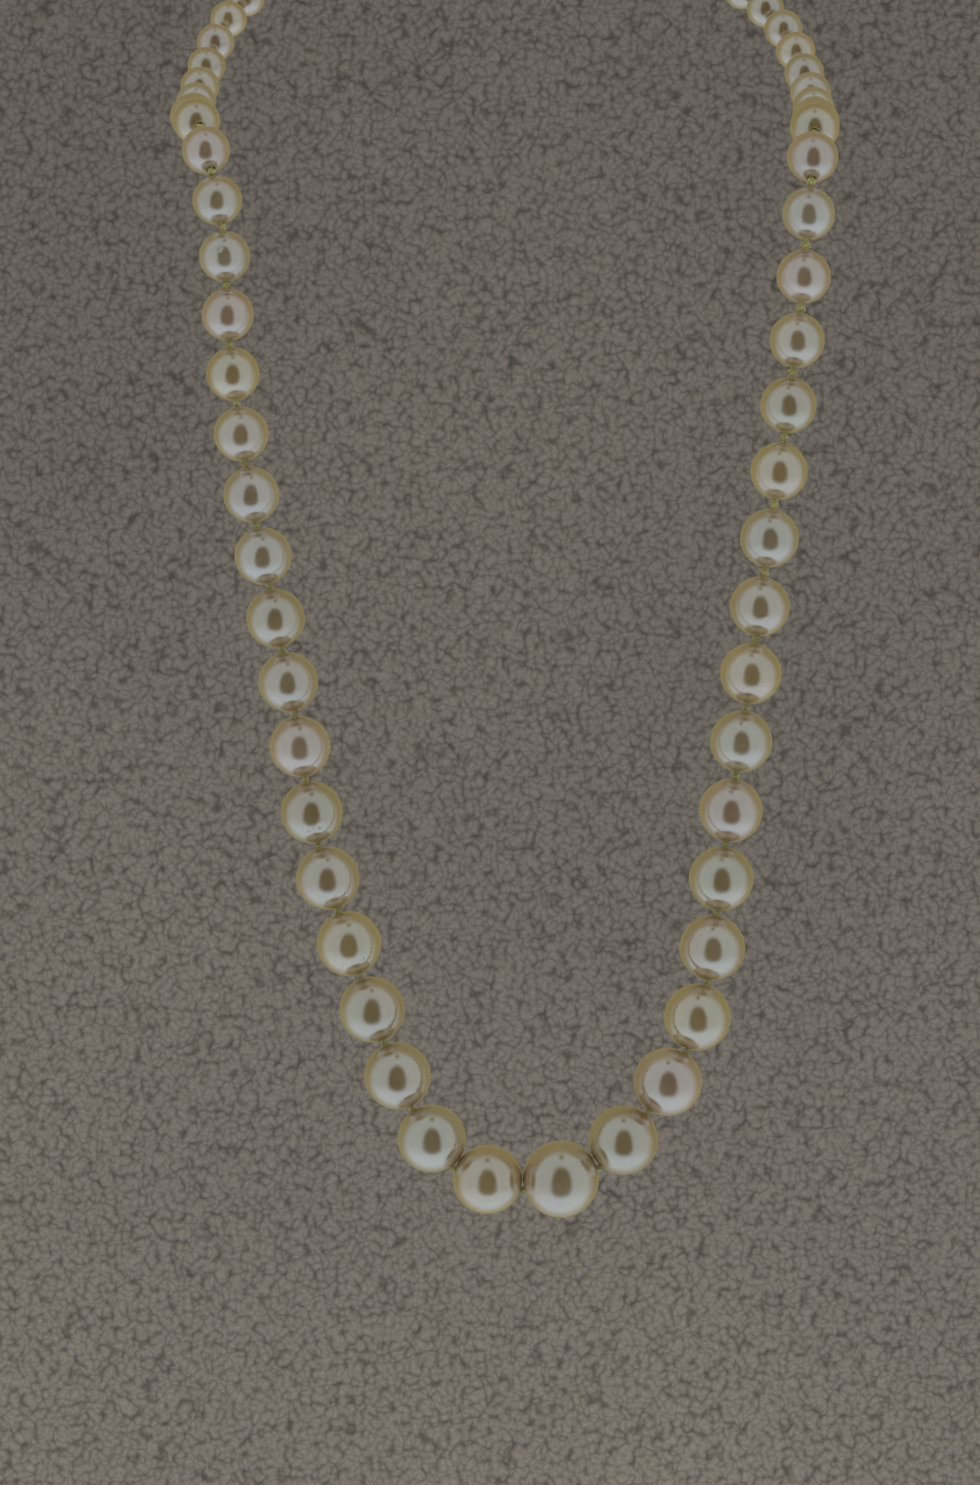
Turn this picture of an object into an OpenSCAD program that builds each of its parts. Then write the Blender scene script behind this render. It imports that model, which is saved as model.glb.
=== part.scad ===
// Graduated pearl necklace: round pearls knotted one by one on silk cord,
// closed at the nape by a gold oval box clasp with a sprung tongue.
// Units are millimetres. +Z is up, +X is to the right seen from the front,
// the front drape faces -Y, and the nape and clasp are at +Y.
// The origin lies midway between the two places where the strand lies over the shoulders.

/* [View] */
// Which sub-part to show, "all" for the whole necklace

/* [Pearls] */
// Diameter of the centre pearl
centre_d = 7.5; // [6:0.1:9]
// Diameter from which the left side is graduated
left_start_d = 6.92; // [6:0.02:8]
// How much each left pearl is smaller than the one below it
left_step = 0.12; // [0.05:0.005:0.2]
// Diameter from which the right side is graduated
right_start_d = 6.90; // [6:0.02:8]
// How much each right pearl is smaller than the one below it
right_step = 0.115; // [0.05:0.005:0.2]
// Pearl number, from the centre, where the slower graduation of the back begins
back_from = 19; // [15:25]
// How much each pearl of the back is smaller than the one before it
back_step = 0.055; // [0.02:0.005:0.1]
// Pearls on each side of the centre pearl
side_count = 36; // [36]

/* [Silk] */
// Diameter of the silk cord
cord_d = 0.6; // [0.4:0.05:0.7]
// Diameter of the hole drilled through each pearl
bore_d = 0.8; // [0.6:0.05:1]
// Largest radius of a knot
knot_r_max = 0.6; // [0.4:0.05:0.8]
// Air between a knot and the rim of the drilled hole
knot_air = 0.04; // [0.02:0.01:0.1]
// Air between a knot that works as a joint and the cord that swings on it
joint_air = 0.05; // [0.03:0.01:0.1]

// How far from the middle of a knot the cord inside it stops
core = 0.15; // [0.1:0.01:0.2]

/* [Clasp] */
// Height of the box clasp
clasp_w = 6; // [5:0.1:8]
// Distance between the round centres of the oval box
clasp_straight = 3; // [2:0.1:4]
// Sheet thickness of the box walls
wall = 0.45; // [0.3:0.05:0.6]
// Sheet thickness of the tongue and its leaf
leaf_t = 0.25; // [0.2:0.01:0.35]
// Width of the leaf
leaf_w = 3.4; // [2.5:0.1:3.6]
// Diameter of the pearl set on the cover
set_pearl_d = 2.5; // [2:0.1:3.2]

/* [Hidden] */
$fn = 48;

// Knots that are joints, counted from the centre pearl. Knot k lies above side pearl k.
LJ = [4, 8, 13, 17, 20, 31];
RJ = [3, 7, 11, 15, 17, 30];

// Where the strand lies. Each side starts at the knot beside the centre pearl, climbs the
// chest to the shoulder, turns back over it, runs along the neck and ends at the clasp.
left_route = [[1.5, 0, -104.9], [-5.6, 0, -102.6], [-9.6, 0, -96.6], [-14.4, 0, -84], [-18.5, 0, -71.3],
  [-20.8, 0, -58.5], [-23.3, 0, -46], [-25.6, 0, -34], [-27.2, 0, -22.5], [-27.8, 0.1, -11.3],
  [-28.8, 0.4, -6.2], [-29.7, 2, -1.8], [-31, 5.6, 1], [-31.6, 15, 1.9], [-32.3, 28, 3.3], [-32.9, 41, 5.2],
  [-32.6, 52, 10.2], [-30.2, 61.5, 18], [-24.5, 69.5, 24.3], [-18, 73.6, 27], [-13.2, 74.5, 27.5]];
right_route = [[9, 0, -102.7], [13.9, 0, -97.1], [17.7, 0, -91.2], [19.6, 0, -84.7], [21.4, 0, -71],
  [23.4, 0, -57.7], [25.3, 0, -43.7], [27.2, 0, -30.6], [28.8, 0, -18.4], [29.6, 0.1, -8.2],
  [30, 1, -4], [30.4, 4.4, 0.1], [31, 14, 1.3], [31.8, 27, 2.7], [32.5, 41, 4.8], [32.4, 52, 9.8],
  [29.6, 62.5, 18], [22, 71, 24.6], [12.5, 74.6, 27.2], [5.2, 75, 27.5]];
clasp_at = [-3, 75, 27.5];

// Smooth curve through the route.
function curve(a, b, c, d, t) =
  0.5 * (2 * b + (c - a) * t + (2 * a - 5 * b + 4 * c - d) * t * t + (3 * b - a - 3 * c + d) * t * t * t);
function smooth(r, n) = [
  for (i = [0 : len(r) - 2]) for (s = [0 : n - 1])
    curve(r[max(i - 1, 0)], r[i], r[i + 1], r[min(i + 2, len(r) - 1)], s / n),
  r[len(r) - 1]];

// Pearl diameters, pearl 0 being the one at the centre.
function side_d(start, drop, i) = i == 0 ? centre_d
  : start - drop * min(i, back_from) - back_step * max(i - back_from, 0);
function left_d(i) = side_d(left_start_d, left_step, i);
function right_d(i) = side_d(right_start_d, right_step, i);

// Length of silk that shows between pearl k and pearl k + 1, at knot k.
function left_gap(k, more) = k < back_from ? 0.4 + 0.018 * k : 0.72 + more;
function right_gap(k, more) = k < 6 ? 0.46 : k < 9 ? 0.7 : k < back_from - 3 ? 0.95 : 0.72 + more;

// The knots: each next knot is one link further along the curve.
function on_line(a, b, p, l) = let (e = b - a, f = a - p, m = e * e, h = e * f)
  a + e * ((-h + sqrt(h * h - m * (f * f - l * l))) / m);
function ahead(path, p, l, s) = s >= len(path) ? [path[len(path) - 1], s]
  : norm(path[s] - p) >= l ? [on_line(path[s - 1], path[s], p, l), s] : ahead(path, p, l, s + 1);
function march(path, links, i, p, s) = i >= len(links) ? [[p, s]]
  : let (n = ahead(path, p, links[i], s)) concat([[p, s]], march(path, links, i + 1, n[0], n[1]));
function links(left, more) = [for (i = [1 : side_count])
  left ? left_d(i) + (left_gap(i - 1, more) + left_gap(i, more)) / 2
       : right_d(i) + (right_gap(i - 1, more) + right_gap(i, more)) / 2];
function runs_over(path, left, more) =
  let (m = march(path, links(left, more), 0, path[0], 1)) m[len(m) - 1][1] >= len(path);
// The gaps of the back are set so that the last knot ends exactly at the clasp.
function fit(path, left, low, high, n) = n == 0 ? low
  : let (mid = (low + high) / 2) runs_over(path, left, mid) ? fit(path, left, low, mid, n - 1) : fit(path, left, mid, high, n - 1);

left_path = smooth(left_route, 10);
right_path = smooth(right_route, 10);
left_more = fit(left_path, true, -0.4, 1.2, 22);
right_more = fit(right_path, false, -0.4, 1.2, 22);
left_march = march(left_path, links(true, left_more), 0, left_path[0], 1);
right_march = march(right_path, links(false, right_more), 0, right_path[0], 1);
LK = [for (i = [0 : side_count]) i == side_count ? left_path[len(left_path) - 1] : left_march[i][0]];
RK = [for (i = [0 : side_count]) i == side_count ? right_path[len(right_path) - 1] : right_march[i][0]];

function knots(left) = left ? LK : RK;
function gap_at(left, k) = left ? left_gap(k, left_more) : right_gap(k, right_more);
function pearl_d(left, i) = left ? left_d(i) : right_d(i);
function knot_r(left, k) = min(knot_r_max, sqrt(pow(gap_at(left, k) / 2, 2) + pow(bore_d / 2, 2)) - knot_air);
function is_joint(left, k) = len([for (j = left ? LJ : RJ) if (j == k) 1]) > 0;
function pearl_at(left, i) = let (a = knots(left)[i - 1], b = knots(left)[i], u = (b - a) / norm(b - a))
  a + u * (norm(b - a) + gap_at(left, i - 1) / 2 - gap_at(left, i) / 2) / 2;

// Puts what is drawn along +Z at a, pointing to b.
module along(a, b) {
  v = b - a;
  translate(a) rotate([0, acos(v[2] / norm(v)), atan2(v[1], v[0])]) children();
}

// One drilled pearl of the side: a ball with its bore along the silk.
module pearl(left, i) {
  a = knots(left)[i - 1];
  b = knots(left)[i];
  r = pearl_d(left, i) / 2;
  color("#efe3c8") along(pearl_at(left, i), b) difference() {
    sphere(r = r);
    cylinder(d = bore_d, h = 2 * r + 2, center = true);
  }
}

module pearls(left, from, to) {
  for (i = [from : to]) pearl(left, i);
}

module pearl_centre() {
  color("#efe3c8") along((LK[0] + RK[0]) / 2, RK[0]) difference() {
    sphere(d = centre_d);
    cylinder(d = bore_d, h = centre_d + 2, center = true);
  }
}

// Silk of one side from knot a to knot b, with every knot between them. The knot at a
// joint belongs to the part nearer the shoulder, and the other part starts beside it.
// The cord runs into each knot and stops short of its middle.
module silk(left, a, b, first, last) {
  K = knots(left);
  color("#b9ac5e") union() {
    for (i = [a : b - 1]) {
      u = (K[i + 1] - K[i]) / norm(K[i + 1] - K[i]);
      s = K[i] + u * (i == a && !first ? knot_r(left, i) + joint_air : core);
      e = K[i + 1] - u * (i == b - 1 && !last ? knot_r(left, i + 1) + joint_air : core);
      along(s, e) cylinder(d = cord_d, h = norm(e - s));
    }
    for (i = [a + (first ? 0 : 1) : b - (last ? 0 : 1)]) silk_knot(left, i);
  }
}
module silk_knot(left, i) {
  K = knots(left);
  along(K[i], K[i] + K[min(i + 1, side_count)] - K[max(i - 1, 0)]) rotate([90, 0, 0]) sphere(r = knot_r(left, i));
}

// Silk of the lowest slice of the drape, through the centre pearl.
module silk_drape_centre() {
  color("#b9ac5e") union() {
    silk(true, 0, LJ[0], true, false);
    silk(false, 0, RJ[0], true, false);
    u = (RK[0] - LK[0]) / norm(RK[0] - LK[0]);
    along(LK[0] + u * core, RK[0]) cylinder(d = cord_d, h = norm(RK[0] - LK[0]) - 2 * core);
  }
}

module silk_drape_lower() { silk(true, LJ[0], LJ[1], true, false); silk(false, RJ[0], RJ[1], true, false); }
module silk_drape_upper() { silk(true, LJ[1], LJ[2], true, false); silk(false, RJ[1], RJ[2], true, false); }
module silk_drape_top() { silk(true, LJ[2], LJ[3], true, false); silk(false, RJ[2], RJ[3], true, false); }
module silk_shoulders() { silk(true, LJ[3], LJ[4], true, true); silk(false, RJ[3], RJ[4], true, true); }
module silk_left_back() { silk(true, LJ[4], LJ[5], false, true); }
module silk_right_back() { silk(false, RJ[4], RJ[5], false, true); }

loop_r = 1.0;
// Centres of the silk loops that tie the strand to the clasp's end rings.
left_loop = [-8.75, -0.5, 0];
right_loop = [6.75, 0, 0];

module loop(at, r) {
  translate(clasp_at + at) rotate_extrude() translate([loop_r, 0]) circle(r = r);
}

module silk_left_nape() {
  color("#b9ac5e") union() { silk(true, LJ[5], side_count, false, true); loop(left_loop, 0.2); }
}
module silk_right_nape() {
  color("#b9ac5e") union() { silk(false, RJ[5], side_count, false, true); loop(right_loop, 0.2); }
}

// Coil of fine gold wire that sleeves the silk loop.
module gimp(at, knot) {
  color("#d9b25a") difference() {
    loop(at, 0.38);
    loop(at, 0.25);
    translate(knot) sphere(r = 0.75);
  }
}
module gimp_left() { gimp(left_loop, LK[side_count]); }
module gimp_right() { gimp(right_loop, RK[side_count]); }

// Oval outline, flat at the end where the tongue goes in.
module oval(r, flat) {
  intersection() {
    union() {
      translate([-clasp_straight / 2, 0]) circle(r = r);
      translate([clasp_straight / 2, 0]) circle(r = r);
      square([clasp_straight, 2 * r], center = true);
    }
    translate([flat, -r - 1]) square([20, 2 * r + 2]);
  }
}
// Clasp parts are drawn lying down: X along the strand, Y up and Z out from the neck.
module standing() { translate(clasp_at) rotate([-90, 0, 0]) children(); }
module plate(x0, x1, w, y0, y1) { translate([x0, -w / 2, y0]) cube([x1 - x0, w, y1 - y0]); }

half_t = 1.35;
floor_t = 0.4;
box_flat = -4;

module end_ring(x) { translate([x, 0, 0]) rotate_extrude() translate([1, 0]) circle(r = 0.3); }

module clasp_box() {
  color("#d9b25a") standing() union() {
    difference() {
      translate([0, 0, -half_t]) linear_extrude(2 * half_t) oval(clasp_w / 2, box_flat);
      translate([0, 0, -half_t + floor_t]) linear_extrude(2 * (half_t - floor_t)) oval(clasp_w / 2 - wall, box_flat + wall);
      plate(box_flat - 0.5, box_flat + wall + 0.1, leaf_w + 0.4, -half_t + floor_t, 0.6);
      plate(box_flat - 0.5, box_flat + wall + 0.1, 1.5, 0.5, 0.9);
    }
    difference() {
      end_ring(clasp_w / 2 + clasp_straight / 2 + 1);
      plate(0, clasp_w / 2 + clasp_straight / 2 - wall / 2, 4, -1, 1);
    }
  }
}

// Cover plate with a raised rim and a wreath of grains round the cup.
module clasp_cover() {
  color("#d9b25a") standing() union() {
    translate([0, 0, half_t]) linear_extrude(0.3) oval(clasp_w / 2 + 0.2, box_flat - 0.2);
    translate([0, 0, half_t + 0.2]) linear_extrude(0.4) difference() {
      oval(clasp_w / 2 + 0.1, box_flat - 0.1);
      oval(clasp_w / 2 - 0.25, box_flat + 0.25);
    }
    for (k = [0 : 11]) rotate(30 * k) translate([2.05, 0, half_t + 0.4]) sphere(r = 0.38);
    for (s = [-1, 1]) for (t = [-1, 1]) translate([s * 3.3 + 0.1, t * 0.62, half_t + 0.36]) sphere(r = 0.34);
  }
}

set_z = half_t + 0.45 + set_pearl_d / 2;
module clasp_cup() {
  color("#d9b25a") standing() union() {
    difference() {
      translate([0, 0, half_t + 0.3]) cylinder(r = set_pearl_d / 2 + 0.15, h = 0.85);
      translate([0, 0, set_z]) sphere(r = set_pearl_d / 2 + 0.02);
    }
    translate([0, 0, half_t + 0.3]) cylinder(r = 0.3, h = 1.2);
  }
}

module clasp_set_pearl() {
  color("#f3ead6") standing() difference() {
    translate([0, 0, set_z]) sphere(d = set_pearl_d);
    translate([0, 0, half_t]) cylinder(r = 0.34, h = 1.6);
  }
}

// Tongue: end plate with its ring, lower leaf and the fold at the tip.
fold_x = 2.1;
low_y = -0.72;
top_y = 0.25;
module clasp_tongue() {
  mid = (low_y + top_y) / 2;
  out = (top_y - low_y) / 2;
  color("#d9b25a") standing() union() {
    plate(-6.5, -4.15, 4, low_y, -0.3);
    plate(-5, fold_x, leaf_w, low_y, low_y + leaf_t);
    translate([fold_x, 0, mid]) rotate([90, 0, 0]) linear_extrude(leaf_w, center = true) intersection() {
      difference() { circle(r = out); circle(r = out - leaf_t); }
      translate([0, -2]) square([2, 4]);
    }
    translate([0, 0, (low_y - 0.3) / 2]) end_ring(-7.5);
  }
}

// Sprung leaf with its catch and thumb tab, drawn held down so that the tongue is free to slide.
module clasp_leaf() {
  color("#d9b25a") standing() union() {
    plate(-3.4, fold_x - 0.05, leaf_w, 0, top_y);
    plate(-3.4, -3.1, leaf_w, 0, top_y + 0.13);
    plate(-5.2, -3.3, 1, 0, top_y);
    plate(-5.3, -5, 1.8, 0, 1.5);
  }
}

pearl_centre();
pearl(true, 1);  // pearl_left_01
pearl(true, 2);  // pearl_left_02
pearl(true, 3);  // pearl_left_03
pearl(true, 4);  // pearl_left_04
pearl(true, 5);  // pearl_left_05
pearl(true, 6);  // pearl_left_06
pearl(true, 7);  // pearl_left_07
pearl(true, 8);  // pearl_left_08
pearl(true, 9);  // pearl_left_09
pearl(true, 10);  // pearl_left_10
pearl(true, 11);  // pearl_left_11
pearl(true, 12);  // pearl_left_12
pearl(true, 13);  // pearl_left_13
pearl(true, 14);  // pearl_left_14
pearl(true, 15);  // pearl_left_15
pearl(true, 16);  // pearl_left_16
pearl(true, 17);  // pearl_left_17
pearl(true, 18);  // pearl_left_18
pearl(true, 19);  // pearl_left_19
pearl(false, 1);  // pearl_right_01
pearl(false, 2);  // pearl_right_02
pearl(false, 3);  // pearl_right_03
pearl(false, 4);  // pearl_right_04
pearl(false, 5);  // pearl_right_05
pearl(false, 6);  // pearl_right_06
pearl(false, 7);  // pearl_right_07
pearl(false, 8);  // pearl_right_08
pearl(false, 9);  // pearl_right_09
pearl(false, 10);  // pearl_right_10
pearl(false, 11);  // pearl_right_11
pearl(false, 12);  // pearl_right_12
pearl(false, 13);  // pearl_right_13
pearl(false, 14);  // pearl_right_14
pearl(false, 15);  // pearl_right_15
pearl(false, 16);  // pearl_right_16
pearl(false, 17);  // pearl_right_17
pearl(true, 20);  // pearl_left_20
pearls(true, LJ[4] + 1, LJ[5]);  // pearls_left_back
pearls(true, LJ[5] + 1, side_count);  // pearls_left_nape
pearls(false, RJ[4] + 1, RJ[5]);  // pearls_right_back
pearls(false, RJ[5] + 1, side_count);  // pearls_right_nape
silk_shoulders();
silk_drape_top();
silk_drape_upper();
silk_drape_lower();
silk_drape_centre();
silk_left_back();
silk_left_nape();
silk_right_back();
silk_right_nape();
gimp_left();
gimp_right();
clasp_box();
clasp_cover();
clasp_cup();
clasp_set_pearl();
clasp_tongue();
clasp_leaf();
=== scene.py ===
"""Graduated pearl necklace: the finished model, riding on the CAD bodies."""
import math
import random
import bpy
import numpy as np
from mathutils import Matrix, Vector


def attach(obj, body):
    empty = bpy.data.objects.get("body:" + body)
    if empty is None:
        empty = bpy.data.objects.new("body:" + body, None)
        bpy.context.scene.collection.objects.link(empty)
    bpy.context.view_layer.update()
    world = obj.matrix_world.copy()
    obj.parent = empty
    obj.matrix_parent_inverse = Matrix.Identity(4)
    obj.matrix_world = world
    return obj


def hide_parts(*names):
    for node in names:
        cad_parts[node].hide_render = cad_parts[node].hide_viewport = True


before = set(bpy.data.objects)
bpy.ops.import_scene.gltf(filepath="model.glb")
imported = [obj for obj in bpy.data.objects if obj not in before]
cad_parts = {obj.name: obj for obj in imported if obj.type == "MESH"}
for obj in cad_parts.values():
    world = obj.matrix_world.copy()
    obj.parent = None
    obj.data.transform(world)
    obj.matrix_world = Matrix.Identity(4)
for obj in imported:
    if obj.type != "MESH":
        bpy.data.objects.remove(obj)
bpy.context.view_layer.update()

MM = 0.001
rnd = random.Random(7)

# ---------------------------------------------------------------- the strand, as in the CAD
CENTRE_D, SIDE, BACK_FROM = 7.5, 36, 19
LJ = [4, 8, 13, 17, 20, 31]
RJ = [3, 7, 11, 15, 17, 30]
LEFT_ROUTE = [[1.5, 0, -104.9], [-5.6, 0, -102.6], [-9.6, 0, -96.6], [-14.4, 0, -84], [-18.5, 0, -71.3],
  [-20.8, 0, -58.5], [-23.3, 0, -46], [-25.6, 0, -34], [-27.2, 0, -22.5], [-27.8, 0.1, -11.3],
  [-28.8, 0.4, -6.2], [-29.7, 2, -1.8], [-31, 5.6, 1], [-31.6, 15, 1.9], [-32.3, 28, 3.3], [-32.9, 41, 5.2],
  [-32.6, 52, 10.2], [-30.2, 61.5, 18], [-24.5, 69.5, 24.3], [-18, 73.6, 27], [-13.2, 74.5, 27.5]]
RIGHT_ROUTE = [[9, 0, -102.7], [13.9, 0, -97.1], [17.7, 0, -91.2], [19.6, 0, -84.7], [21.4, 0, -71],
  [23.4, 0, -57.7], [25.3, 0, -43.7], [27.2, 0, -30.6], [28.8, 0, -18.4], [29.6, 0.1, -8.2],
  [30, 1, -4], [30.4, 4.4, 0.1], [31, 14, 1.3], [31.8, 27, 2.7], [32.5, 41, 4.8], [32.4, 52, 9.8],
  [29.6, 62.5, 18], [22, 71, 24.6], [12.5, 74.6, 27.2], [5.2, 75, 27.5]]
CLASP = np.array([-3.0, 75.0, 27.5])


def smooth(route, n=10):
    r = [np.array(p, float) for p in route]
    out = []
    for i in range(len(r) - 1):
        a, b, c, d = r[max(i - 1, 0)], r[i], r[i + 1], r[min(i + 2, len(r) - 1)]
        for s in range(n):
            t = s / n
            out.append(0.5 * (2 * b + (c - a) * t + (2 * a - 5 * b + 4 * c - d) * t * t + (3 * b - a - 3 * c + d) * t ** 3))
    return out + [r[-1]]


def side_d(left, i):
    if i == 0:
        return CENTRE_D
    start, drop = (6.92, 0.12) if left else (6.90, 0.115)
    return start - drop * min(i, BACK_FROM) - 0.055 * max(i - BACK_FROM, 0)


def side_gap(left, k, more):
    if left:
        return 0.4 + 0.018 * k if k < BACK_FROM else 0.72 + more
    return 0.46 if k < 6 else 0.7 if k < 9 else 0.95 if k < BACK_FROM - 3 else 0.72 + more


def march(path, left, more):
    p, s, out = path[0], 1, [path[0]]
    for i in range(1, SIDE + 1):
        link = side_d(left, i) + (side_gap(left, i - 1, more) + side_gap(left, i, more)) / 2
        while s < len(path) and np.linalg.norm(path[s] - p) < link:
            s += 1
        if s >= len(path):
            return out + [path[-1]] * (SIDE + 1 - len(out)), True
        a, e = path[s - 1], path[s] - path[s - 1]
        f = a - p
        m, h = e @ e, e @ f
        p = a + e * ((-h + math.sqrt(h * h - m * (f @ f - link * link))) / m)
        out.append(p)
    return out, False


def side(route, left):
    path, low, high = smooth(route), -0.4, 1.2
    for _ in range(22):
        mid = (low + high) / 2
        if march(path, left, mid)[1]:
            high = mid
        else:
            low = mid
    knots = march(path, left, low)[0]
    knots[-1] = path[-1]
    return knots, low


LK, LMORE = side(LEFT_ROUTE, True)
RK, RMORE = side(RIGHT_ROUTE, False)


def knots(left):
    return LK if left else RK


def gap(left, k):
    return side_gap(left, k, LMORE if left else RMORE)


def pearl_place(left, i):
    """Centre, direction of the bore and diameter, in mm."""
    a, b = knots(left)[i - 1], knots(left)[i]
    n = np.linalg.norm(b - a)
    u = (b - a) / n
    return a + u * (n + gap(left, i - 1) / 2 - gap(left, i) / 2) / 2, u, side_d(left, i)


# ---------------------------------------------------------------- mesh helpers
def make(name, verts, faces, mats, smooth_faces=True, mat_index=None):
    me = bpy.data.meshes.new(name)
    me.from_pydata([tuple(map(float, v)) for v in verts], [], faces)
    for m in mats:
        me.materials.append(m)
    me.polygons.foreach_set("use_smooth", [smooth_faces] * len(me.polygons))
    if mat_index is not None:
        me.polygons.foreach_set("material_index", mat_index)
    me.validate()
    me.update()
    o = bpy.data.objects.new(name, me)
    bpy.context.scene.collection.objects.link(o)
    return o


class Bag:
    """Vertices and faces of several shells, gathered into one mesh."""

    def __init__(self):
        self.v, self.f, self.m = [], [], []
        self.n = 0

    def add(self, v, f, mat=0):
        self.v.append(np.asarray(v, float))
        self.f += [tuple(i + self.n for i in q) for q in f]
        self.m += [mat] * len(f)
        self.n += len(v)

    def object(self, name, mats, smooth_faces=True):
        return make(name, np.vstack(self.v) * MM, self.f, mats, smooth_faces, self.m)


def basis(u):
    u = np.asarray(u, float) / np.linalg.norm(u)
    a = np.array([0, 1.0, 0]) if abs(u[1]) < 0.8 else np.array([1.0, 0, 0])
    x = np.cross(a, u)
    x /= np.linalg.norm(x)
    return x, np.cross(u, x), u


def tube(points, r, sides=8, closed=False, caps=True):
    """A round tube along points. r is a number or one per point."""
    p = np.asarray(points, float)
    n = len(p)
    r = np.full(n, r) if np.isscalar(r) else np.asarray(r)
    if closed:
        t = np.roll(p, -1, 0) - np.roll(p, 1, 0)
    else:
        t = np.gradient(p, axis=0)
    t /= np.linalg.norm(t, axis=1)[:, None]
    x = basis(t[0])[0]
    xs = []
    for k in range(n):
        x = x - t[k] * (x @ t[k])
        x /= np.linalg.norm(x)
        xs.append(x)
    xs = np.array(xs)
    if closed:
        # spread the twist that is left over
        e = xs[0] - t[0] * (xs[0] @ t[0])
        x = xs[-1] - t[0] * (xs[-1] @ t[0])
        x /= np.linalg.norm(x)
        y0 = np.cross(t[0], x)
        twist = math.atan2(e @ y0, e @ x)
        ang = twist * np.arange(n) / n
        ys = np.cross(t, xs)
        xs = xs * np.cos(ang)[:, None] + ys * np.sin(ang)[:, None]
    ys = np.cross(t, xs)
    a = np.linspace(0, 2 * np.pi, sides, endpoint=False)
    v = p[:, None] + r[:, None, None] * (np.cos(a)[None, :, None] * xs[:, None] + np.sin(a)[None, :, None] * ys[:, None])
    f = []
    for k in range(n if closed else n - 1):
        q = (k + 1) % n
        for s in range(sides):
            z = (s + 1) % sides
            f.append((k * sides + s, k * sides + z, q * sides + z, q * sides + s))
    if caps and not closed:
        f.append(tuple(range(sides))[::-1])
        f.append(tuple((n - 1) * sides + s for s in range(sides)))
    return v.reshape(-1, 3), f


def lathe(profile, sides, at=(0, 0, 0), u=(0, 0, 1), closed=False):
    """Turns (radius, height) points round u through at."""
    x, y, z = basis(u)
    pr = np.asarray(profile, float)
    a = np.linspace(0, 2 * np.pi, sides, endpoint=False)
    ring = np.cos(a)[:, None] * x + np.sin(a)[:, None] * y
    v = np.asarray(at) + pr[:, 0][:, None, None] * ring[None] + pr[:, 1][:, None, None] * z
    n = len(pr)
    f = []
    for k in range(n if closed else n - 1):
        q = (k + 1) % n
        for s in range(sides):
            w = (s + 1) % sides
            f.append((k * sides + s, k * sides + w, q * sides + w, q * sides + s))
    return v.reshape(-1, 3), f


# ---------------------------------------------------------------- materials
def new_mat(name):
    m = bpy.data.materials.new(name)
    m.use_nodes = True
    nt = m.node_tree
    return m, nt, nt.nodes["Principled BSDF"]


def node(nt, kind, **inputs):
    n = nt.nodes.new(kind)
    for k, v in inputs.items():
        n.inputs[k.replace("_", " ")].default_value = v
    return n


def ramp(nt, stops):
    r = nt.nodes.new("ShaderNodeValToRGB")
    e = r.color_ramp.elements
    while len(e) < len(stops):
        e.new(0.5)
    for k, (p, c) in enumerate(stops):
        e[k].position = p
        e[k].color = (*c, 1) if len(c) == 3 else c
    return r


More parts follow.
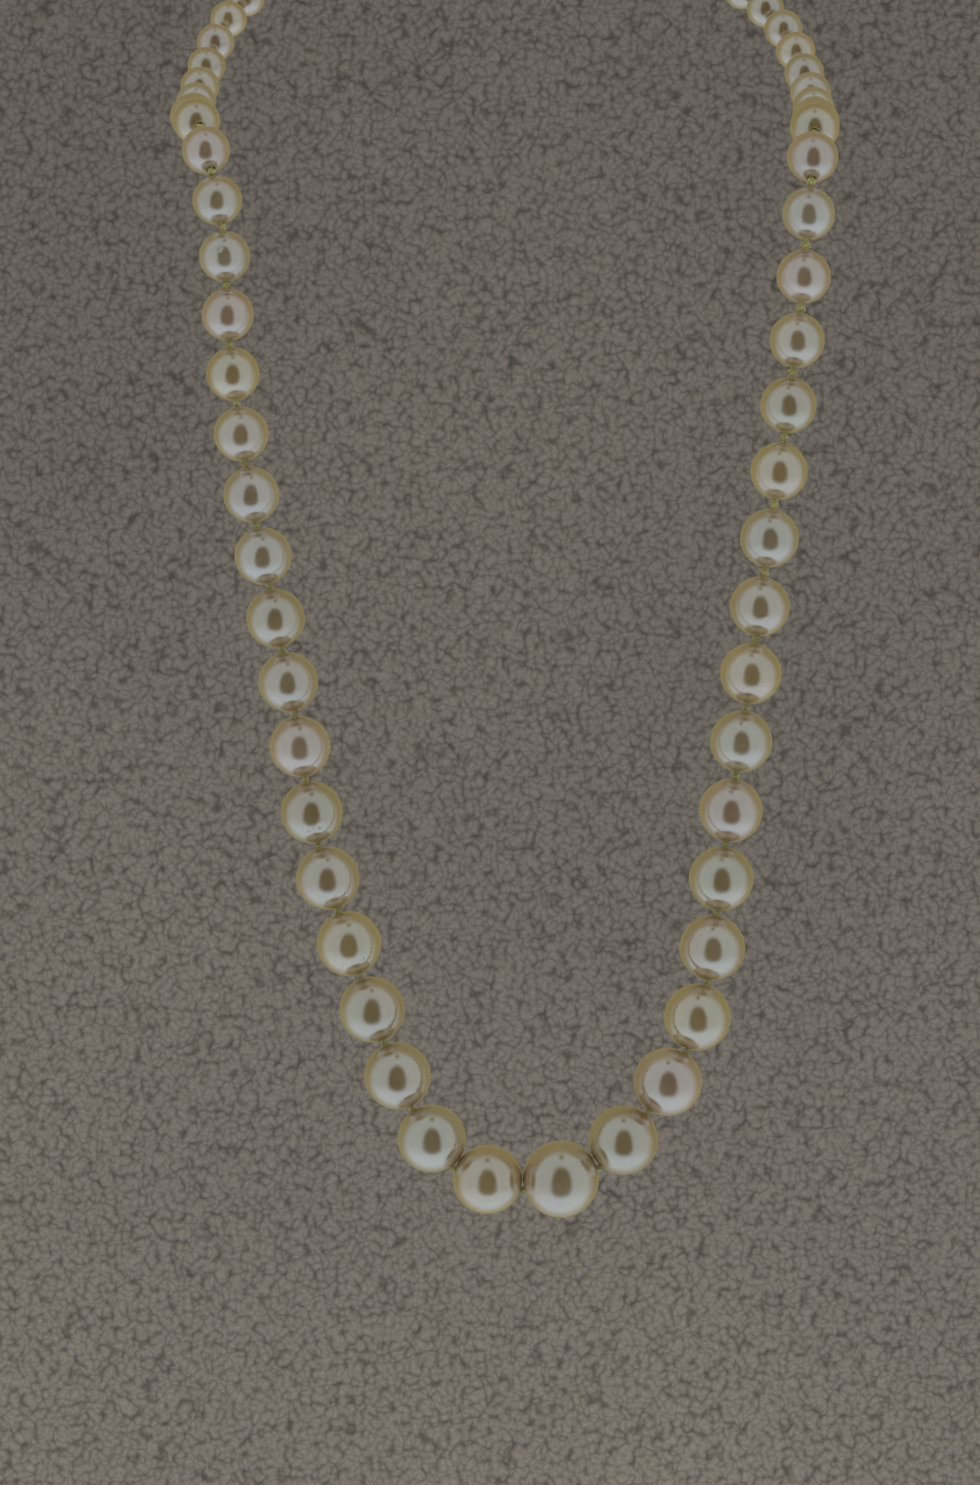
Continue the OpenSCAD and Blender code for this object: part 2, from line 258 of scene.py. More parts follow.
def nacre(name, body, glow, deep, tint, rough=0.17, coat=1.0):
    """Cream body under a clear, very reflective skin. body, glow and deep are its colours, tint the skin's."""
    m, nt, p = new_mat(name)
    co = nt.nodes.new("ShaderNodeTexCoord")
    big = node(nt, "ShaderNodeTexNoise", Scale=260.0, Detail=3.0, Roughness=0.5)
    nt.links.new(co.outputs["Object"], big.inputs["Vector"])
    r = ramp(nt, [(0.30, deep), (0.52, body), (0.72, glow)])
    nt.links.new(big.outputs["Fac"], r.inputs["Fac"])
    # cloudy grain of the nacre
    fine = node(nt, "ShaderNodeTexNoise", Scale=2600.0, Detail=4.0, Roughness=0.6)
    nt.links.new(co.outputs["Object"], fine.inputs["Vector"])
    fr = ramp(nt, [(0.35, (0.93, 0.93, 0.93)), (0.65, (1.0, 1.0, 1.0))])
    nt.links.new(fine.outputs["Fac"], fr.inputs["Fac"])
    mix = nt.nodes.new("ShaderNodeMix")
    mix.data_type, mix.blend_type = "RGBA", "MULTIPLY"
    mix.inputs[0].default_value = 1.0
    nt.links.new(r.outputs["Color"], mix.inputs[6])
    nt.links.new(fr.outputs["Color"], mix.inputs[7])
    nt.links.new(mix.outputs[2], p.inputs["Base Color"])
    # faint orange peel and growth waves
    peel = node(nt, "ShaderNodeTexNoise", Scale=900.0, Detail=2.0, Roughness=0.45)
    nt.links.new(co.outputs["Object"], peel.inputs["Vector"])
    wave = node(nt, "ShaderNodeTexNoise", Scale=330.0, Detail=1.0, Roughness=0.4)
    nt.links.new(co.outputs["Object"], wave.inputs["Vector"])
    b1 = node(nt, "ShaderNodeBump", Strength=0.10, Distance=0.00006)
    nt.links.new(peel.outputs["Fac"], b1.inputs["Height"])
    b2 = node(nt, "ShaderNodeBump", Strength=0.16, Distance=0.00022)
    nt.links.new(wave.outputs["Fac"], b2.inputs["Height"])
    nt.links.new(b1.outputs["Normal"], b2.inputs["Normal"])
    nt.links.new(b2.outputs["Normal"], p.inputs["Normal"])
    p.inputs["Roughness"].default_value = rough
    p.inputs["IOR"].default_value = 2.6
    # overtones: the skin reflects a little pinker here and greener there
    over_n = node(nt, "ShaderNodeTexNoise", Scale=230.0, Detail=1.0, Roughness=0.4)
    nt.links.new(co.outputs["Object"], over_n.inputs["Vector"])
    pink, green = [tuple(min(1.0, t * k) for t, k in zip(tint, c)) for c in ((1.0, 0.90, 0.96), (0.92, 1.0, 0.97))]
    tr = ramp(nt, [(0.36, pink), (0.50, tint), (0.64, green)])
    nt.links.new(over_n.outputs["Fac"], tr.inputs["Fac"])
    nt.links.new(tr.outputs["Color"], p.inputs["Specular Tint"])
    p.inputs["Coat Weight"].default_value = coat
    p.inputs["Coat Roughness"].default_value = 0.10
    p.inputs["Coat IOR"].default_value = 2.3
    p.inputs["Subsurface Weight"].default_value = 1.0
    p.inputs["Subsurface Radius"].default_value = (1.0, 0.72, 0.4)
    p.inputs["Subsurface Scale"].default_value = 0.0018
    return m


NACRE = [
    nacre("nacre_cream", (0.56, 0.395, 0.215), (0.61, 0.445, 0.255), (0.50, 0.345, 0.175), (1.0, 1.0, 0.97)),
    nacre("nacre_rose", (0.58, 0.385, 0.235), (0.62, 0.435, 0.275), (0.52, 0.335, 0.195), (1.0, 0.98, 0.99)),
    nacre("nacre_green", (0.54, 0.40, 0.225), (0.585, 0.45, 0.265), (0.485, 0.35, 0.185), (0.97, 1.0, 0.97)),
    nacre("nacre_gold", (0.585, 0.41, 0.19), (0.63, 0.46, 0.23), (0.53, 0.355, 0.15), (1.0, 0.99, 0.94)),
    nacre("nacre_silver", (0.545, 0.405, 0.25), (0.59, 0.455, 0.30), (0.49, 0.355, 0.215), (0.98, 0.99, 1.0), 0.15),
    nacre("nacre_olive", (0.53, 0.375, 0.19), (0.575, 0.425, 0.23), (0.47, 0.325, 0.15), (0.99, 1.0, 0.95), 0.19),
]
# pits and chips: dull, darker nacre
m_pit, _nt, _p = new_mat("nacre_pit")
_p.inputs["Base Color"].default_value = (0.20, 0.135, 0.06, 1)
_p.inputs["Roughness"].default_value = 0.5
m_chip, _nt, _p = new_mat("nacre_chip")
_p.inputs["Base Color"].default_value = (0.72, 0.66, 0.46, 1)
_p.inputs["Roughness"].default_value = 0.35
# the drilled wall of a pearl: chalky bead nucleus with silk dust
m_bore, _nt, _p = new_mat("drilled_wall")
_p.inputs["Base Color"].default_value = (0.42, 0.36, 0.22, 1)
_p.inputs["Roughness"].default_value = 0.75


def silk_mat(name, light, mid, dark, scale):
    m, nt, p = new_mat(name)
    co = nt.nodes.new("ShaderNodeTexCoord")
    n = node(nt, "ShaderNodeTexNoise", Scale=scale, Detail=4.0, Roughness=0.65)
    nt.links.new(co.outputs["Object"], n.inputs["Vector"])
    r = ramp(nt, [(0.30, dark), (0.5, mid), (0.7, light)])
    nt.links.new(n.outputs["Fac"], r.inputs["Fac"])
    nt.links.new(r.outputs["Color"], p.inputs["Base Color"])
    fi = node(nt, "ShaderNodeTexNoise", Scale=9000.0, Detail=2.0, Roughness=0.6)
    nt.links.new(co.outputs["Object"], fi.inputs["Vector"])
    b = node(nt, "ShaderNodeBump", Strength=0.5, Distance=0.00004)
    nt.links.new(fi.outputs["Fac"], b.inputs["Height"])
    nt.links.new(b.outputs["Normal"], p.inputs["Normal"])
    p.inputs["Roughness"].default_value = 0.5
    p.inputs["Sheen Weight"].default_value = 0.35
    p.inputs["Sheen Roughness"].default_value = 0.4
    return m


m_silk = silk_mat("silk_aged_yellow", (0.96, 0.85, 0.40), (0.82, 0.70, 0.29), (0.52, 0.43, 0.15), 1400.0)
m_fuzz = silk_mat("silk_fibre", (0.92, 0.84, 0.50), (0.80, 0.71, 0.36), (0.64, 0.55, 0.26), 1400.0)


def gold_mat(name, light, dark, rough, scratch):
    m, nt, p = new_mat(name)
    co = nt.nodes.new("ShaderNodeTexCoord")
    n = node(nt, "ShaderNodeTexNoise", Scale=500.0, Detail=5.0, Roughness=0.6)
    nt.links.new(co.outputs["Object"], n.inputs["Vector"])
    r = ramp(nt, [(0.32, dark), (0.6, light)])
    nt.links.new(n.outputs["Fac"], r.inputs["Fac"])
    nt.links.new(r.outputs["Color"], p.inputs["Base Color"])
    rr = nt.nodes.new("ShaderNodeMapRange")
    rr.inputs["To Min"].default_value = rough + 0.10
    rr.inputs["To Max"].default_value = rough - 0.04
    nt.links.new(n.outputs["Fac"], rr.inputs["Value"])
    nt.links.new(rr.outputs["Result"], p.inputs["Roughness"])
    mp = nt.nodes.new("ShaderNodeMapping")
    mp.inputs["Scale"].default_value = (900, 12000, 12000)
    mp.inputs["Rotation"].default_value = (0.3, 0.5, 0.4)
    nt.links.new(co.outputs["Object"], mp.inputs["Vector"])
    s = node(nt, "ShaderNodeTexNoise", Scale=1.0, Detail=3.0, Roughness=0.6)
    nt.links.new(mp.outputs["Vector"], s.inputs["Vector"])
    b = node(nt, "ShaderNodeBump", Strength=scratch, Distance=0.00002)
    nt.links.new(s.outputs["Fac"], b.inputs["Height"])
    nt.links.new(b.outputs["Normal"], p.inputs["Normal"])
    p.inputs["Metallic"].default_value = 1.0
    return m


m_gold = gold_mat("gold_polished", (0.86, 0.62, 0.26), (0.66, 0.43, 0.15), 0.20, 0.25)
m_gold_dark = gold_mat("gold_recess", (0.44, 0.28, 0.10), (0.26, 0.16, 0.055), 0.42, 0.5)
m_gimp = gold_mat("gold_wire", (0.90, 0.68, 0.30), (0.68, 0.46, 0.17), 0.24, 0.1)


# ---------------------------------------------------------------- pearls
def shape_noise(seed):
    g = random.Random(seed)
    terms = []
    for k in range(7):
        w = np.array([g.gauss(0, 1) for _ in range(3)])
        w *= g.uniform(1.6, 4.6) / np.linalg.norm(w)
        terms.append((g.uniform(0.5, 1.0) * 0.0022, w, g.uniform(0, 6.28)))
    return terms


def pearl_mesh(bag, place, seed, tone, nlat, nlon, dents=()):
    """A slightly uneven ball round its bore, with softened hole mouths."""
    c, u, d = place
    R, b = d / 2, 0.4
    g = random.Random(seed * 31 + 5)
    x, y, z = basis(u)
    spin = g.uniform(0, 6.28)
    x, y = x * math.cos(spin) + y * math.sin(spin), y * math.cos(spin) - x * math.sin(spin)
    lip = 0.16
    t0 = math.asin((b + lip) / R)
    th = np.linspace(t0, math.pi - t0, nlat)
    prof = [(R * math.sin(t), R * math.cos(t), 1.0) for t in th]
    zt = R * math.cos(t0)
    mouth = [(b + lip * (1 - math.sin(a)), zt - lip * (1 - math.cos(a)) * 0.9, 0.0) for a in np.linspace(0.35, math.pi / 2, 4)]
    deep = zt - lip - 0.9
    top = [(b, deep, 0.0)] + mouth[::-1]
    low = [(r, -h, f) for r, h, f in reversed(top)]
    prof = top + prof + low
    a = np.linspace(0, 2 * np.pi, nlon, endpoint=False)
    ring = np.cos(a)[:, None] * x + np.sin(a)[:, None] * y
    pr = np.array(prof)
    v = pr[:, 0][:, None, None] * ring[None] + pr[:, 1][:, None, None] * z
    v = v.reshape(-1, 3)
    out = np.repeat(pr[:, 2], nlon)
    n = v / np.linalg.norm(v, axis=1)[:, None]
    f = np.zeros(len(v))
    for amp, w, ph in shape_noise(seed):
        f += amp * np.cos(n @ w * 1.0 + ph)
    # one pearl in three is a little egg-shaped along its bore
    if seed % 3 == 0:
        f += 0.006 * ((n @ z) ** 2 - 0.5) * (1 if seed % 2 else -1)
    # keep the hole mouths where they are
    side_w = np.clip((np.sqrt(1 - np.clip(n @ z, -1, 1) ** 2) - math.sin(t0)) / 0.25, 0, 1)
    depth = R * f * side_w
    for dd, width, deepness in dents:
        dd = np.array(dd, float) / np.linalg.norm(dd)
        ang = np.arccos(np.clip(n @ dd, -1, 1))
        depth -= deepness * np.exp(-((ang / width) ** 2)) * side_w
    v = np.asarray(c) + v + n * (depth * out)[:, None]
    faces, mats = [], []
    rows = len(prof)
    for k in range(rows):
        q = (k + 1) % rows
        wall = pr[k, 2] == 0 and pr[q, 2] == 0 and (pr[k, 0] <= b + 0.02 or pr[q, 0] <= b + 0.02)
        for s in range(nlon):
            w = (s + 1) % nlon
            faces.append((k * nlon + s, q * nlon + s, q * nlon + w, k * nlon + w))
            mats.append(1 if wall else 0)
    base = bag.n
    bag.v.append(v)
    bag.f += [tuple(i + base for i in q) for q in faces]
    bag.m += [m if m == 0 else 1 for m in mats]
    bag.n += len(v)


def spot(bag, place, direction, size, mat, seed, lift=0.004):
    """A small ragged patch lying on the pearl's skin."""
    c, u, d = place
    g = random.Random(seed)
    n = np.array(direction, float)
    n /= np.linalg.norm(n)
    x, y, z = basis(n)
    R = d / 2
    pts, faces = [np.asarray(c) + n * (R + lift)], []
    k = 14
    for ring, share in ((1, 0.55), (2, 1.0)):
        for s in range(k):
            a = 2 * math.pi * s / k
            q = size * share * (0.7 + 0.5 * g.random())
            w = n + (x * math.cos(a) + y * math.sin(a)) * q / R
            w /= np.linalg.norm(w)
            pts.append(np.asarray(c) + w * (R + (lift if ring == 1 else -0.012)))
    for s in range(k):
        w = (s + 1) % k
        faces.append((0, 1 + s, 1 + w))
        faces.append((1 + s, 1 + k + s, 1 + k + w, 1 + w))
    bag.add(pts, faces, mat)


LEFT_TONE = "3 2 0 5 3 0 5 1 2 5 4 4 0 3 1 4 2 1 3 0 4 5 1 0 3 2 4 0 5 1 3 0 2 4 0 3".split()
RIGHT_TONE = "5 1 3 0 5 1 2 3 0 4 3 5 0 1 4 1 3 0 2 4 5 0 3 1 0 4 2 3 0 5 1 4 0 3 2 0".split()

# Dents and marks seen on single pearls: side, number, direction on the pearl, size, kind
DENTS = {
    (True, 7): [((0.35, -1, -0.62), 0.13, 0.05), ((-0.1, -1, -0.75), 0.10, 0.035)],
    (True, 5): [((0.62, -1, -0.55), 0.15, 0.05)],
    (True, 16): [((-0.16, -1, 0.22), 0.14, 0.06)],
    (True, 19): [((-0.05, -1, -0.25), 0.16, 0.06)],
    (True, 1): [((0.5, -0.8, -0.5), 0.10, 0.03)],
    (False, 4): [((-0.45, -1, 0.5), 0.10, 0.03)],
    (False, 9): [((0.2, -1, -0.6), 0.09, 0.03)],
}
MARKS = {
    (True, 16): [((-0.20, -1, 0.26), 0.16, "chip"), ((-0.06, -1, 0.30), 0.09, "chip"), ((-0.26, -1, 0.10), 0.10, "chip"), ((-0.02, -1, 0.12), 0.06, "pit")],
    (True, 19): [((-0.05, -1, -0.16), 0.12, "pit"), ((0.06, -1, -0.30), 0.07, "chip")],
    (True, 7): [((0.35, -1, -0.62), 0.09, "pit"), ((-0.1, -1, -0.78), 0.06, "pit")],
    (True, 5): [((0.64, -1, -0.56), 0.08, "pit")],
    (True, 1): [((0.52, -0.8, -0.5), 0.05, "pit")],
    (False, 4): [((-0.45, -1, 0.5), 0.05, "pit")],
    (False, 9): [((0.2, -1, -0.62), 0.05, "pit")],
    (True, 12): [((-0.3, -1, -0.4), 0.05, "pit")],
    (False, 12): [((0.3, -1, 0.1), 0.04, "pit")],
}

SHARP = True


def add_pearl(name, cad, body, items):
    """One piece that holds the pearls in items, as (left side, number), in place of the CAD node."""
    bag = Bag()
    tones = sorted({tone(*it) for it in items})
    mats = []
    for t in tones:
        mats.append(NACRE[t])
    wall, pit, chip = len(mats), len(mats) + 1, len(mats) + 2
    for left, i in items:
        if i == 0:
            n = np.linalg.norm(RK[0] - LK[0])
            place = ((LK[0] + RK[0]) / 2, (RK[0] - LK[0]) / n, CENTRE_D)
        else:
            place = pearl_place(left, i)
        start = len(bag.m)
        seed = i + (0 if left else 100)
        fine = i <= 20
        nlat, nlon = (72, 112) if fine and SHARP else (44, 64)
        pearl_mesh(bag, place, seed, 0, nlat, nlon, DENTS.get((left, i), ()))
        t = tones.index(tone(left, i))
        for k in range(start, len(bag.m)):
            bag.m[k] = t if bag.m[k] == 0 else wall
        for k, (dd, size, kind) in enumerate(MARKS.get((left, i), ())):
            spot(bag, place, dd, size, pit if kind == "pit" else chip, seed * 7 + k)
    o = bag.object(name, mats + [m_bore, m_pit, m_chip])
    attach(o, body)
    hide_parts(cad)
    return o


def tone(left, i):
    return 0 if i == 0 else int((LEFT_TONE if left else RIGHT_TONE)[i - 1])


def side_body(left, i):
    J = LJ if left else RJ
    names = ["drape_centre", "drape_lower", "drape_upper", "drape_top", "shoulders",
             "left_back" if left else "right_back", "left_nape" if left else "right_nape"]
    for j, n in zip(J, names):
        if i <= j:
            return n
    return names[-1]


add_pearl("centre_pearl", "pearl_centre", "drape_centre", [(True, 0)])
for i in range(1, 21):
    add_pearl(f"left_pearl_{i:02d}", f"pearl_left_{i:02d}", side_body(True, i), [(True, i)])
for i in range(1, 18):
    add_pearl(f"right_pearl_{i:02d}", f"pearl_right_{i:02d}", side_body(False, i), [(False, i)])
add_pearl("left_back_pearls", "pearls_left_back", "left_back", [(True, i) for i in range(21, 32)])
add_pearl("left_nape_pearls", "pearls_left_nape", "left_nape", [(True, i) for i in range(32, 37)])
add_pearl("right_back_pearls", "pearls_right_back", "right_back", [(False, i) for i in range(18, 31)])
add_pearl("right_nape_pearls", "pearls_right_nape", "right_nape", [(False, i) for i in range(31, 37)])


# ---------------------------------------------------------------- silk
def knot_r(left, k):
    return min(0.6, math.sqrt((gap(left, k) / 2) ** 2 + 0.16) - 0.04)


def twisted(bag, a, b, plies=3, ply_r=0.150, off=0.135, pitch=1.25, phase=0.0, near=1.0):
    """A laid cord from a to b: fine where it shows at its ends, coarse inside the pearl."""
    a, b = np.asarray(a, float), np.asarray(b, float)
    n = np.linalg.norm(b - a)
    x, y, u = basis(b - a)
    if n > 2.6 * near:
        s = np.concatenate([np.arange(0, near, 0.09), np.linspace(near, n - near, 8), np.arange(n - near, n, 0.09)[1:], [n]])
    else:
        s = np.linspace(0, n, max(6, int(n / 0.09)))
    for k in range(plies):
        ang = 2 * math.pi * (s / pitch + k / plies) + phase
        p = a + s[:, None] * u + off * (np.cos(ang)[:, None] * x + np.sin(ang)[:, None] * y)
        v, f = tube(p, ply_r, 8)
        bag.add(v, f)


def knot(bag, at, u, r, half, seed):
    """An overhand knot pulled tight: two plies laid along a trefoil."""
    g = random.Random(seed)
    x, y, z = basis(u)
    spin = g.uniform(0, 6.28)
    x, y = x * math.cos(spin) + y * math.sin(spin), y * math.cos(spin) - x * math.sin(spin)
    t = np.linspace(0, 2 * np.pi, 84, endpoint=False)
    thick = min(0.155, 0.55 * half)
    s = (r * 0.98 - thick) / 3.0
    h = max(half - thick, 0.03)
    wob = 1 + 0.06 * np.sin(t * 2 + seed)
    c = (s * wob * (np.sin(t) + 2 * np.sin(2 * t)))[:, None] * x + (s * wob * (np.cos(t) - 2 * np.cos(2 * t)))[:, None] * y + (-h * np.sin(3 * t))[:, None] * z
    c = c + np.asarray(at)
    tan = np.roll(c, -1, 0) - np.roll(c, 1, 0)
    tan /= np.linalg.norm(tan, axis=1)[:, None]
    rad = c - np.asarray(at)
    rad -= tan * (rad * tan).sum(1)[:, None]
    rad /= np.maximum(np.linalg.norm(rad, axis=1), 1e-9)[:, None]
    bi = np.cross(tan, rad)
    turns = 9
    for k in range(2):
        ang = turns * t + k * math.pi
        p = c + thick * 0.45 * (np.cos(ang)[:, None] * rad + np.sin(ang)[:, None] * bi)
        v, f = tube(p, thick * 0.56, 7, closed=True)
        bag.add(v, f)
    # the core, so that no light comes through
    v, f = lathe([(0.001, -h), (r * 0.5, -h * 0.5), (r * 0.55, 0), (r * 0.5, h * 0.5), (0.001, h)], 12, at, u)
    bag.add(v, f)


def fuzz(bag, at, u, r, seed, count):
    g = random.Random(seed)
    x, y, z = basis(u)
    for k in range(count):
        a = g.uniform(0, 6.28)
        d = x * math.cos(a) + y * math.sin(a) + z * g.uniform(-0.5, 0.5)
        d /= np.linalg.norm(d)
        side = np.cross(d, z)
        length = g.uniform(0.12, 0.38)
        bend = g.uniform(-0.5, 0.5)
        s = np.linspace(0, 1, 5)
        p = np.asarray(at) + d * r * 0.85 + np.outer(s * length, d) + np.outer(s * s * length * bend, side + z * g.uniform(-0.6, 0.6))
        v, f = tube(p, np.linspace(0.011, 0.004, 5), 4)
        bag.add(v, f, 1)


def strand(bag, left, a, b, first, last):
    K = knots(left)
    for i in range(a, b):
        u = (K[i + 1] - K[i]) / np.linalg.norm(K[i + 1] - K[i])
        s = K[i] + u * (knot_r(left, i) + 0.05) if i == a and not first else K[i]
        e = K[i + 1] - u * (knot_r(left, i + 1) + 0.05) if i == b - 1 and not last else K[i + 1]
        twisted(bag, s, e, phase=i * 0.9)
    for i in range(a + (0 if first else 1), b + (1 if last else 0)):
        prev, nxt = K[max(i - 1, 0)], K[min(i + 1, SIDE)]
        u = nxt - prev
        u = u / np.linalg.norm(u)
        seed = i + (0 if left else 500)
        half = max(min(0.36, gap(left, i) / 2 - 0.01), 0.16)
        if i in (LJ if left else RJ):
            # a knot that bends keeps clear of the pearls that turn about it
            knot(bag, K[i], u, knot_r(left, i) * 0.93, half * 0.93, seed)
        else:
            knot(bag, K[i], u, knot_r(left, i), half, seed)
            fuzz(bag, K[i], u, knot_r(left, i), seed, 5)
        if gap(left, i) > 0.85:
            # a long gap shows a second, smaller knot and bare cord
            knot(bag, K[i] + u * (0.30 if i % 2 else -0.30), u, 0.40, 0.14, seed + 40)


def loop_ring(bag, centre, r, plies=3, ply_r=0.1, off=0.1):
    t = np.linspace(0, 2 * np.pi, 90, endpoint=False)
    c = np.asarray(centre) + np.stack([np.cos(t), np.sin(t), 0 * t], 1)
    rad = np.stack([np.cos(t), np.sin(t), 0 * t], 1)
    for k in range(plies):
        ang = 6 * t + 2 * math.pi * k / plies
        p = c + off * (np.cos(ang)[:, None] * rad + np.sin(ang)[:, None] * np.array([0, 0, 1.0]))
        v, f = tube(p, ply_r, 6, closed=True)
        bag.add(v, f)


LEFT_LOOP = CLASP + np.array([-8.75, -0.5, 0])
RIGHT_LOOP = CLASP + np.array([6.75, 0, 0])


def add_silk(name, cad, body, runs, loop=None):
    bag = Bag()
    for left, a, b, first, last in runs:
        strand(bag, left, a, b, first, last)
    if cad == "silk_drape_centre":
        twisted(bag, LK[0], RK[0])
    if loop is not None:
        loop_ring(bag, loop, 1.0)
    o = bag.object(name, [m_silk, m_fuzz])
    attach(o, body)
    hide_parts(cad)
    return o


add_silk("centre_silk", "silk_drape_centre", "drape_centre", [(True, 0, LJ[0], True, False), (False, 0, RJ[0], True, False)])
add_silk("lower_silk", "silk_drape_lower", "drape_lower", [(True, LJ[0], LJ[1], True, False), (False, RJ[0], RJ[1], True, False)])
add_silk("upper_silk", "silk_drape_upper", "drape_upper", [(True, LJ[1], LJ[2], True, False), (False, RJ[1], RJ[2], True, False)])
add_silk("top_silk", "silk_drape_top", "drape_top", [(True, LJ[2], LJ[3], True, False), (False, RJ[2], RJ[3], True, False)])
add_silk("shoulder_silk", "silk_shoulders", "shoulders", [(True, LJ[3], LJ[4], True, True), (False, RJ[3], RJ[4], True, True)])
add_silk("left_back_silk", "silk_left_back", "left_back", [(True, LJ[4], LJ[5], False, True)])
add_silk("right_back_silk", "silk_right_back", "right_back", [(False, RJ[4], RJ[5], False, True)])
add_silk("left_nape_silk", "silk_left_nape", "left_nape", [(True, LJ[5], SIDE, False, True)], LEFT_LOOP)
add_silk("right_nape_silk", "silk_right_nape", "right_nape", [(False, RJ[5], SIDE, False, True)], RIGHT_LOOP)


# ---------------------------------------------------------------- gimp, the coiled gold wire
def add_gimp(name, cad, body, centre, knot_at, toward):
    """Wire wound round the silk loop, open where the loop meets the last knot."""
    bag = Bag()
    half = 0.80
    t = np.linspace(toward + half, toward + 2 * math.pi - half, 1500)
    rad = np.stack([np.cos(t), np.sin(t), 0 * t], 1)
    turns = 50
    ang = np.linspace(0, 2 * math.pi * turns, len(t))
    p = centre + rad + 0.325 * (np.cos(ang)[:, None] * rad + np.sin(ang)[:, None] * np.array([0, 0, 1.0]))
    v, f = tube(p, 0.052, 5)
    bag.add(v, f)
    o = bag.object(name, [m_gimp])
    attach(o, body)
    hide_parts(cad)


add_gimp("left_wire_coil", "gimp_left", "left_nape", LEFT_LOOP, LK[-1], math.pi)
add_gimp("right_wire_coil", "gimp_right", "right_nape", RIGHT_LOOP, RK[-1], 0.0)


# ---------------------------------------------------------------- clasp
def cad_copy(name, cad, body, mat, bevel):
    """A dressed copy of a CAD node: soft edges and metal."""
    src = bpy.data.objects[cad]
    o = src.copy()
    o.data = src.data.copy()
    o.name = name
    for k in list(o.keys()):
        if k.startswith("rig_"):
            del o[k]
    o.data.materials.clear()
    o.data.materials.append(mat)
    o.parent = None
    bpy.context.scene.collection.objects.link(o)
    import bmesh
    bm = bmesh.new()
    bm.from_mesh(o.data)
    bmesh.ops.remove_doubles(bm, verts=bm.verts, dist=2e-7)
    bmesh.ops.dissolve_limit(bm, angle_limit=math.radians(1.0), verts=bm.verts, edges=bm.edges)
    bm.to_mesh(o.data)
    bm.free()
    o.data.polygons.foreach_set("use_smooth", [True] * len(o.data.polygons))
    b = o.modifiers.new("edges", "BEVEL")
    b.width = bevel * MM
    b.segments = 3
    b.limit_method = "ANGLE"
    b.angle_limit = math.radians(35)
    b.harden_normals = True
    o.hide_render = False
    o.hide_viewport = False
    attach(o, body)
    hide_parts(cad)
    return o


def st(p):
    """From the clasp lying down to where it stands."""
    p = np.asarray(p, float)
    return np.stack([p[..., 0], p[..., 2], -p[..., 1]], -1) + CLASP


def ball(bag, at, r, mat=0, sides=10, squash=1.0):
    prof = [(r * math.sin(t), squash * r * math.cos(t)) for t in np.linspace(0.001, math.pi - 0.001, sides)]
    v, f = lathe(prof, sides + 4, (0, 0, 0), (0, 0, 1))
    bag.add(st(v + np.asarray(at)), f, mat)


def oval_line(r, flat, n):
    """Points along the oval outline at radius r, cut flat on the left."""
    pts = []
    for k in range(n):
        # walk the perimeter by arc length
        straight, arc = 3.0, math.pi * r
        s = (k / n) * (2 * straight + 2 * arc)
        if s < straight:
            p = (-1.5 + s, -r)
        elif s < straight + arc:
            a = (s - straight) / r - math.pi / 2
            p = (1.5 + r * math.cos(a), r * math.sin(a))
        elif s < 2 * straight + arc:
            p = (1.5 - (s - straight - arc), r)
        else:
            a = (s - 2 * straight - arc) / r + math.pi / 2
            p = (-1.5 + r * math.cos(a), r * math.sin(a))
        pts.append((max(p[0], flat), p[1]))
    return pts


cad_copy("clasp_box_shell", "clasp_box", "right_nape", m_gold, 0.10)
cad_copy("clasp_tongue_plate", "clasp_tongue", "left_nape", m_gold, 0.05)
cad_copy("clasp_spring_leaf", "clasp_leaf", "leaf", m_gold, 0.05)
cover = cad_copy("clasp_cover_plate", "clasp_cover", "right_nape", m_gold, 0.07)

# milgrain, scrolls and petals on the cover
bag = Bag()
for px, py in oval_line(3.02, -3.98, 64):
    ball(bag, (px, py, 1.97), 0.125, 0, 8)
for k in range(12):
    a = math.radians(30 * k + 15)
    c = np.array([math.cos(a), math.sin(a)])
    t = np.linspace(0, 1, 12)
    prof = 0.17 * np.sin(math.pi * np.clip(t, 0.02, 0.98)) + 0.02
    p = np.stack([c[0] * (1.45 + 0.95 * t), c[1] * (1.45 + 0.95 * t), 1.72 + 0.12 * np.sin(math.pi * t)], 1)
    v, f = tube(st(p), prof, 8)
    bag.add(v, f)
for sx in (-1, 1):
    for sy in (-1, 1):
        t = np.linspace(0, 2.6 * math.pi, 46)
        rr = 0.62 * (1 - t / (3.3 * math.pi))
        p = np.stack([0.1 + sx * (3.0 + rr * np.cos(t) * 0.55), sy * (1.05 + rr * np.sin(t)), np.full_like(t, 1.72)], 1)
        v, f = tube(st(p), np.linspace(0.085, 0.05, len(t)), 7)
        bag.add(v, f)
orn = bag.object("clasp_cover_ornament", [m_gold])
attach(orn, "right_nape")
# sunk ground between the ornament
bag = Bag()
pts = oval_line(2.72, -3.7, 72)
v = [(px, py, 1.665) for px, py in pts] + [(0, 0, 1.665)]
bag.add(st(np.array(v)), [(k, (k + 1) % 72, 72) for k in range(72)])
ground = bag.object("clasp_cover_ground", [m_gold_dark], False)
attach(ground, "right_nape")
# two fine bands round the box wall
bag = Bag()
for z in (-0.75, 0.75):
    q = oval_line(3.0, -4.0, 120)
    first = next(k for k in range(120) if q[k][0] > -3.9 and q[k - 1][0] <= -3.9)
    p = np.array([(*q[(first + k) % 120], z) for k in range(120) if q[(first + k) % 120][0] > -3.9])
    v, f = tube(st(p), 0.07, 6)
    bag.add(v, f)
bands = bag.object("clasp_box_bands", [m_gold])
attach(bands, "right_nape")
